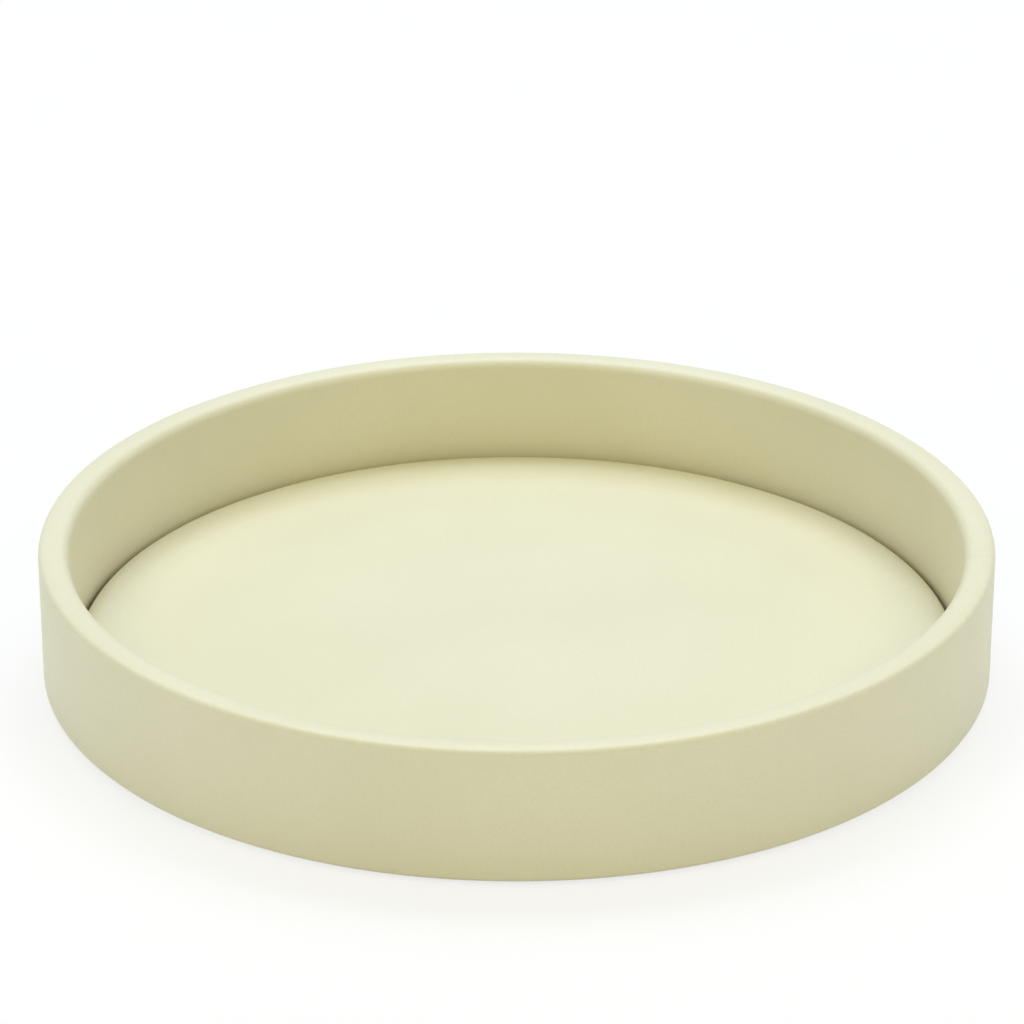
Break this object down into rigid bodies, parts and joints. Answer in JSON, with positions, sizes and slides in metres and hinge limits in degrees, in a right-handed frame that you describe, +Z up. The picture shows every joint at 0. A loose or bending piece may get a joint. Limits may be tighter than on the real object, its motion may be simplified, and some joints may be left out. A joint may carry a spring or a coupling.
{
  "type": "coin tray",
  "caption": "Shallow round tray with a straight wall, wrapped in leatherette, with a padded floor pressed in and a felt underside.",
  "frame": {"origin": "centre of the underside, on the surface that the tray rests on", "axes": "+Z up the tray's axis, out of its open top; the wrap's butt seam is on the +X side, 7 degrees towards -Y"},
  "size_m": [0.18, 0.18, 0.0264],
  "materials": {
    "leatherette": "satin",
    "hoop_wood": "matte",
    "greyboard": "matte",
    "foam": "matte",
    "felt": "matte"
  },
  "bodies": {
    "root": {"wall_hoop": "hoop_wood", "base_board": "greyboard", "wall_wrap": "leatherette", "hem_infill": "greyboard", "underside_cover": "felt", "floor_card": "greyboard", "floor_foam": "foam", "floor_cover": "leatherette"}
  },
  "joints": []
}
